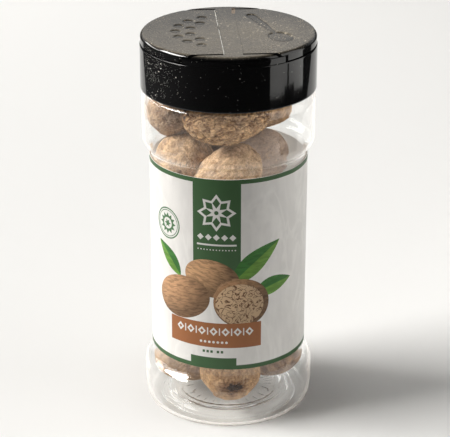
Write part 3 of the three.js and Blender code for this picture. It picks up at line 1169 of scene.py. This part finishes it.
# A bar that fills a hinge gap: rings of an oval section, thinner towards its ends
def hingeBar(x, start, end, level, half):
    rows = np.linspace(start, end, 40)[:, None]
    angle = np.linspace(0, 2 * math.pi, 12, endpoint=False)
    width = half * np.minimum(1, np.minimum(rows - start, end - rows) * 4 + 0.25)
    wander = 0.03 * np.sin(rows * 1.7) + 0.02 * np.sin(rows * 4.1)
    rings = np.stack(np.broadcast_arrays(
        x + wander + width * np.cos(angle), rows, level + 0.14 * np.sin(angle)), axis=-1)
    return ringSkin(rings[::-1], rings[-1].mean(axis=0), rings[0].mean(axis=0))


# The thin webs on which the flaps bend: a line on the left painted pale as a highlight, with breaks near
# its middle, and a black one on the right
def makeHingeLines():
    x = (cap["strip"] + flap["start"]) / 2
    level = cap["top"] - 0.16
    thin, thick = hingeLines["half"]
    pale = [hingeBar(-x, start, end, level, thin) for start, end in hingeLines["pale"]]
    # Painted highlight: the left hinge line is coloured a grainy pale grey to near white
    material, tree = newMaterial("paintedHingeHighlight")
    grain = ranged(noise(place(tree), 900, 3.0), 0.3, 0.6)
    finished(surface(tree, Base_Color=mixed(grain, (0.45, 0.42, 0.37), (0.86, 0.84, 0.78)), Roughness=0.5))
    web = hingeBar(x, *hingeLines["black"], level + 0.01, thick)
    makePiece("hingeLine", twisted(pale), [material], "jar_body", ["cap"])
    makePiece("hingeWeb", twisted([web]), [black], "jar_body", ["cap"])


blackTones = {
    "plastic": (0.0035, 0.0035, 0.0037),
    "veil": (0.172, 0.15, 0.118),  # thin film of dust on the top
    "small": (0.50, 0.43, 0.33),  # grains on the top
    "large": (0.60, 0.52, 0.40),
    "side": (0.80, 0.78, 0.72),  # grains on the skirt
    "scuff": (0.42, 0.27, 0.15),
}
# Where the dust is thicker: a place, and the distances at which that ends and is full
dustPlaces = {
    "veilFront": ((4, -14, 127), 42, 6),
    "veilRight": ((18, 4, 127), 18, 2),
    "topRight": ((12, 0, 127), 24, 2),
    "skirtLeft": ((-19, -18, 119), 17, 2),
}
scuffPlaces = [((-1.75 - 0.15 * step, 19.6 + step, 127), 0.95, 0.2) for step in range(6)]


# Specks in small random cells: one grain in each cell that is picked, by a random value
def specks(vector, scale, share, size):
    cells = addNode(vector.tree, "TexVoronoi", {"Vector": vector, "Scale": scale, "Randomness": 1.0})
    picked = addNode(vector.tree, "SeparateColor", {0: cells["Color"]})
    return (cells["Distance"] < picked[1] * size + size * 0.4) * (picked[0] < share)


# Glossy black, with a thin cloudy veil of dust on the flat top, thinned in the sunk marks as painted shade,
# and grains of dust on top and skirt
def blackPlastic():
    material, tree = newMaterial("blackPlastic")
    spot = place(tree)
    height = heightOf(spot)
    flat = ranged(heightOf(addNode(tree, "NewGeometry")["Normal"]), 0.35, 0.9)
    high = ranged(height, (cap["top"] - 0.9) * mm, (cap["top"] - 0.4) * mm)
    onTop = flat * high
    # Painted shade: the veil falls to 0.28 in the sunk marks, so they look darker
    sunk = ranged(height, (cap["top"] - 0.35) * mm, (cap["top"] - 0.03) * mm, 0.28, 1.0)
    cloud = ranged(noise(spot, 70, 4.0, 0.65), 0.3, 0.7, 0.62, 1.12)
    powder = ranged(noise(spot, 1500, 3.0, 0.7), 0.3, 0.7, 0.62, 1.38)
    veilFront, veilRight, topRight, skirtLeft = (nearTo(spot, *at) for at in dustPlaces.values())
    veil = onTop * sunk * ((veilRight * 0.32 + (veilFront * 0.78 + 0.5)) * cloud * powder)
    small = onTop * specks(spot, 2600, topRight * 0.32 + 0.1, 0.32)
    large = onTop * specks(spot, 800, topRight * 0.3 + 0.06, 0.22)
    left = skirtLeft * ranged(noise(spot, 260, 3.0, 0.6), 0.38, 0.66, 0.1, 1.0)
    few = specks(spot, 1500, left * 0.16 + 0.007, 0.2)
    many = specks(spot, 3900, left * 0.55 + 0.012, 0.26)
    side = (1.0 - high) * (1.0 - flat) * larger(few, many * 0.6)
    scuff = reduce(larger, [nearTo(spot, *at) for at in scuffPlaces])
    plastic, *tones = blackTones.values()
    tone = layered(plastic, *zip((veil, small * 0.75, large * 0.8, side, scuff * onTop * 0.55), tones))
    gloss = larger(small, side) * 0.5 + (veil * 0.16 + 0.06)
    ripple = bumped(noise(spot, 420, 3.0, 0.6), 0.006)
    finished(surface(tree, Base_Color=tone, Roughness=gloss, IOR=1.5, Normal=ripple))
    return material


black = blackPlastic()
siftRib = siftHoles["ring"] + siftHoles["radius"] + flap["ribGap"]
siftRibs = [circle((-siftHoles["middle"], 0), siftRib + grown, 96) for grown in (0, flap["rib"])]
spoonRibs = [spoonPlan(flap["ribGap"] + grown) for grown in (0, flap["rib"])]
makeCapBody()
makeHingeLines()
makeFlap("siftFlap", -1, "sift_lid", "sift_flap", dotDistance, dotMarks["depth"], siftRibs)
makeFlap("spoonFlap", 1, "spoon_lid", "spoon_flap", spoonDistance, spoonMark["depth"], spoonRibs)
print("cap: body, hinge lines and two flaps")


# Nutmegs

# Each as degrees round, mm out from the axis, mm up, heading and rise of its long axis, length,
# width, how wrinkled, how pale and how grey it is, which is below 0 for a golden one
nutmegWrinkled = [(8, 15.6, 105.2, 98, 6, 28, 19.5, 1.5, 1.0, -0.6)]
nutmegsAbove = [
    (-99, 18.0, 100.4, -6, -4, 24, 20, 0.6, 0.6, 0),
    (-70, 14.4, 83.9, 5, 6, 25.5, 19.4, 0.4, 1.0, -0.15),
    (8, 13.6, 82, 102, 50, 27, 19.6, 0.4, 1.1, -0.1),
]
nutmegsAtBack = [
    (140, 13.6, 101.8, 82, 8, 26, 19.6, 0.8, 0.7, -0.6),
    (132, 9.5, 81.5, 110, 35, 25, 20, 0.3, 0.9, 0.9),
    (-155, 14, 86, 104, -4, 23, 18.4, 0.5, 0.7, 0.4),
]
nutmegsBelow = [
    (12, 12.5, 15.3, -168, 26, 24, 19.6, 0.5, 0.68, -0.5),
    (-84, 14.0, 13.0, -24, 5, 26, 19, 0.4, 0.85, 0.1),
    (126, 14.8, 13.6, 46, -5, 26, 19, 0.5, 0.0, 0.12),
    (-170, 12.8, 27.5, 100, 10, 25, 19.6, 0.5, 0.5, 0),
]
hiddenLayers = {"levels": (40, 52, 64), "out": 13.2, "each": 3, "turn": 60, "rise": (8, 5)}
hiddenNut = (24, 19, 0.5, 0.5, 0)  # from length to grey, as above
seed = {
    "egg": 0.1,  # how much slimmer one end is
    "lump": 0.42, "ridge": 0.16, "furrow": 0.42, "wrinkle": 0.2,
    "scar": 0.3,  # depth of the ring at the blunt end
    "raised": 0.12,
    "clear": 0.15,  # distance kept from the jar's wall
}


# Radius that is free inside the jar at each height
def freeRadius(height):
    wall = jarWall(jar["wall"] + seed["clear"])
    return np.interp(height, wall[:, 1], wall[:, 0])


# Unit ball in rows from its top at +Z down, with the two poles last
def unitBall(columns, rows):
    lap = np.arange(columns) * 2 * math.pi / columns
    run = np.linspace(0, math.pi, rows + 2)[1:-1, None]
    ball = np.stack(np.broadcast_arrays(
        np.sin(run) * np.cos(lap), np.sin(run) * np.sin(lap), np.cos(run)), axis=-1)
    return np.concatenate([ball.reshape(-1, 3), [(0, 0, 1), (0, 0, -1)]])


# How far the surface moves out, and how dark its colour is: darker in furrows, wrinkles and the pit, partly
# the seed's own colour and partly painted shade, and at the navel. Furrows are the zero lines of stretched
# noise, so they run lengthwise and meet; soft lumps, ridges and the marks of both ends join them.
def seedRelief(ball, number, wrinkled):
    warp = np.stack([unevenness(ball * 2.6 + 7 * i, number * 7 + i) for i in range(3)], axis=-1)
    warped = ball + warp * 0.16
    coarse = np.abs(unevenness(warped * [9.5, 9.5, 5.0], number * 5 + 1))
    finer = np.abs(unevenness(warped * [17, 17, 11], number * 5 + 2))
    ridge = unevenness(warped * [4.6, 4.6, 1.1], number + 90)
    lump = unevenness(ball * [1.9, 1.9, 1.5], number + 30)
    strength = (0.3 + 0.7 * eased(unevenness(ball * 2.2, number + 60), -0.7, 0.5)) * wrinkled
    furrow = (1 - eased(coarse, 0.0, 0.3)) * strength
    wrinkle = (1 - eased(finer, 0.0, 0.4)) * (0.4 + 0.6 * wrinkled)
    blunt = ball[:, 2] < 0
    aside = np.hypot(*ball[:, :2].T)
    scar = np.exp(-(((aside - 0.2) / 0.08) ** 2)) * blunt
    pit = np.exp(-((aside / 0.1) ** 2)) * ~blunt
    depth = seed["furrow"] * furrow + seed["wrinkle"] * wrinkle + seed["scar"] * (scar + pit)
    off = (ball[:, :2] - [-0.07, 0.25]) / [0.36, 0.25]
    navel = np.exp(-(off**2).sum(axis=1)) * blunt
    navel *= 1 + 0.45 * unevenness(ball * [11, 24, 11], number + 120)
    # Darker colour in furrows, wrinkles and the pit: partly the seed's own colour, partly painted shade
    thin = (1 - eased(coarse, 0.0, 0.19)) * strength
    dark = np.clip(thin * 0.9 + wrinkle * 0.4 + pit, 0, 1) + 1.6 * navel
    return seed["lump"] * lump + seed["ridge"] * ridge - depth + seed["raised"], dark


# An egg of revolution about its long axis, whose surface moves along its normal by the relief. It
# is laid at its place, and what would pass the jar's wall is pressed back inside it.
def nutmegShape(number, spec, columns, rows):
    turned, out, up, heading, rise, length, width, wrinkled, pale, ashen = spec
    ball = unitBall(columns, rows)
    girth = width / 2 * (1 - seed["egg"] * ball[:, 2:])
    halves = np.hstack([girth, girth, np.full_like(girth, length / 2)])
    normal = ball / halves
    normal /= np.linalg.norm(normal, axis=1, keepdims=True)
    moved, dark = seedRelief(ball, number, wrinkled)
    body = ball * halves + normal * moved[:, None]
    rising = math.radians(rise)
    way = np.array([*around(math.cos(rising), heading), math.sin(rising)])
    across = np.cross((0, 0, 1), way)
    across /= np.linalg.norm(across)
    points = body @ np.stack([across, np.cross(way, across), way]) + [*around(out, turned), up]
    free = freeRadius(points[:, 2]) / np.hypot(*points[:, :2].T)
    points[:, :2] *= np.minimum(1, free)[:, None]
    points[:, 2] = np.maximum(points[:, 2], jar["punt"] + jar["wall"] + seed["clear"])
    # the skin's rows run up from the blunt end, whose pole comes first
    order = np.arange(rows * columns).reshape(rows, columns)[::-1]
    skin = ringSkin(points[order], points[-1], points[-2])
    order = [*order.ravel(), rows * columns + 1, rows * columns]
    values = {"furrow": dark[order], "grain": (body + number * 40)[order]}
    for title, value in (("rough", wrinkled), ("pale", pale), ("ashen", ashen)):
        values[title] = np.full(len(order), value)
    return skin, values


# One piece of several nutmegs. Each has its own number, from first on, which picks its relief.
def makeNutmegs(name, specs, columns, rows, first):
    skins, each = zip(*(nutmegShape(first + i, spec, columns, rows) for i, spec in enumerate(specs)))
    values = {title: np.concatenate([values[title] for values in each]) for title in each[0]}
    makePiece(name, skins, [shell], "jar_body", ["nutmegs"], sharp=180, values=values)


# Tones of the shell, for a dark and for a pale nutmeg or for both
shellTones = {
    "brown": ((0.27, 0.155, 0.088), (0.5, 0.325, 0.195)),
    "light": ((0.55, 0.345, 0.19), (0.9, 0.65, 0.42)),
    "grey": ((0.31, 0.22, 0.17), (0.5, 0.38, 0.3)),
    "chalk": ((0.68, 0.48, 0.3), (0.93, 0.72, 0.5)),
    "ashen": (0.66, 0.56, 0.52),
    # dark wrinkle lines and furrows: partly the seed's own colour, partly painted shade in them
    "wrinkle": (0.17, 0.08, 0.04),
    "furrow": (0.15, 0.065, 0.025),
    "navel": (0.03, 0.014, 0.007),
    "golden": (1.08, 0.9, 0.58),  # factors
}


# Dry, dull shell: cloudy tan and brown, with darker wrinkles and furrows, partly the seed's own colour and
# partly painted shade, and pale chalky ridges. grain holds each seed's own place in millimetres, so the
# fine wrinkles run along the seed.
def nutmegShell():
    material, tree = newMaterial("nutmegShell")
    furrow, pale, rough, ashen = (
        addNode(tree, "Attribute", attribute_name=title)["Fac"]
        for title in ("furrow", "pale", "rough", "ashen"))
    grain = addNode(tree, "Attribute", attribute_name="grain")["Vector"]
    lengthwise = stretched(grain, (1, 1, 0.5))
    brown, light, grey, chalk = (
        mixed(pale, *shellTones[name]) for name in ("brown", "light", "grey", "chalk"))
    clouded = ranged(noise(grain, 0.36, 6.0, 0.72), 0.38, 0.62)
    greyed = ranged(noise(grain, 0.17, 3.0, 0.6, 0.4), 0.5, 0.66, 0.0, 0.6)
    lines = ranged(abs(noise(lengthwise, 1.15, 5.0, 0.66, 0.4) - 0.5), 0.0, 0.05)
    wrinkled = (1.0 - lines) * ranged(noise(grain, 0.3), 0.35, 0.65, 0.15, 0.6) * (rough + 0.15)
    # Share of the dark furrow tone: partly the seed's own colour, partly painted shade
    sunk = maths("MINIMUM", furrow * 0.9, 0.85)
    chalked = ranged(noise(lengthwise, 1.4, 4.0, 0.7, 0.3), 0.53, 0.66, 0.0, 0.55) * (1.0 - sunk)
    tone = layered(
        brown, (clouded, light), (greyed, grey), (ashen * 0.75, shellTones["ashen"]),
        (wrinkled, shellTones["wrinkle"]), (sunk, shellTones["furrow"]), (chalked, chalk))
    golden = ashen * ranged(noise(grain, 0.2), 0.3, 0.65, -0.45, -1.0)
    tone = layered(
        tone, (golden, mixed(1.0, tone, shellTones["golden"], "MULTIPLY")),
        (ranged(furrow, 1.02, 1.4, 0.0, 0.95), shellTones["navel"]))
    normal = bumped(lines * 0.4 + noise(grain, 1.9, 4.0, 0.65), 0.26)
    finished(surface(tree, Base_Color=tone, Roughness=0.8, Specular_IOR_Level=0.25, Normal=normal))
    return material


# Those behind the label: each layer is turned from the last, and each nutmeg lies across its
# radius and rises a little more than the last
def hiddenSpecs():
    byLayer, byNut = hiddenLayers["rise"]
    for layer, level in enumerate(hiddenLayers["levels"]):
        for i in range(hiddenLayers["each"]):
            at = hiddenLayers["turn"] * layer + i * 360 / hiddenLayers["each"]
            rise = byLayer * (layer - 1) + byNut * i
            yield (at, hiddenLayers["out"], level, at + 90, rise, *hiddenNut)


shell = nutmegShell()
makeNutmegs("nutmegWrinkled", nutmegWrinkled, 320, 210, 1)
makeNutmegs("nutmegsAbove", nutmegsAbove, 210, 130, 2)
makeNutmegs("nutmegsAtBack", nutmegsAtBack, 120, 76, 5)
makeNutmegs("nutmegsBelow", nutmegsBelow, 170, 106, 8)
makeNutmegs("nutmegsBehindLabel", hiddenSpecs(), 64, 40, 12)
print("nutmegs: above, at the back, below and behind the label")
